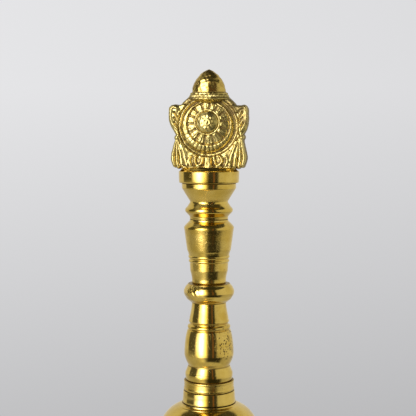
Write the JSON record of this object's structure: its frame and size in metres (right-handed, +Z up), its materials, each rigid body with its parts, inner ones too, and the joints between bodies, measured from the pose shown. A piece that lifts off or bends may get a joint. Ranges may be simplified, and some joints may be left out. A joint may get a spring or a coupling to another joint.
{
  "type": "puja bell",
  "caption": "Hand bell with a turned sectional handle, a cast wheel finial on top, a flared cup and a clapper that swings on a link below an eye bolt.",
  "frame": {"origin": "centre of the mouth, in the plane of the rim that the bell stands on", "axes": "+Z up along the handle's axis; the wheel on the finial faces -Y, +X to the right seen from the front"},
  "size_m": [0.062, 0.062, 0.1598],
  "materials": {
    "turned_brass": "lathe-turned and polished",
    "cast_brass": "cast, lightly buffed, patina in the recesses",
    "steel": "plain drawn wire and bar"
  },
  "bodies": {
    "bell": {"finial": "cast_brass", "capital": "turned_brass", "upper_barrel": "turned_brass", "knop": "turned_brass", "lower_barrel": "turned_brass", "ferrule_upper": "turned_brass", "ferrule_lower": "turned_brass", "base_collar": "turned_brass", "bell_cup": "turned_brass", "eye_bolt": "steel", "crown_washer": "steel", "lock_nut": "steel"},
    "link": {"clapper_link": "steel"},
    "clapper": {"clapper_rod": "steel", "clapper_bob": "turned_brass"}
  },
  "joints": [
    {"name": "link_swing", "type": "hinge", "parent": "bell", "child": "link", "pos_m": [0, 0, 0.0408], "axis": [1, 0, 0], "range_deg": [-7, 7]},
    {"name": "clapper_swing", "type": "hinge", "parent": "link", "child": "clapper", "pos_m": [0, 0, 0.0357], "axis": [0, 1, 0], "range_deg": [-27, 27]}
  ]
}
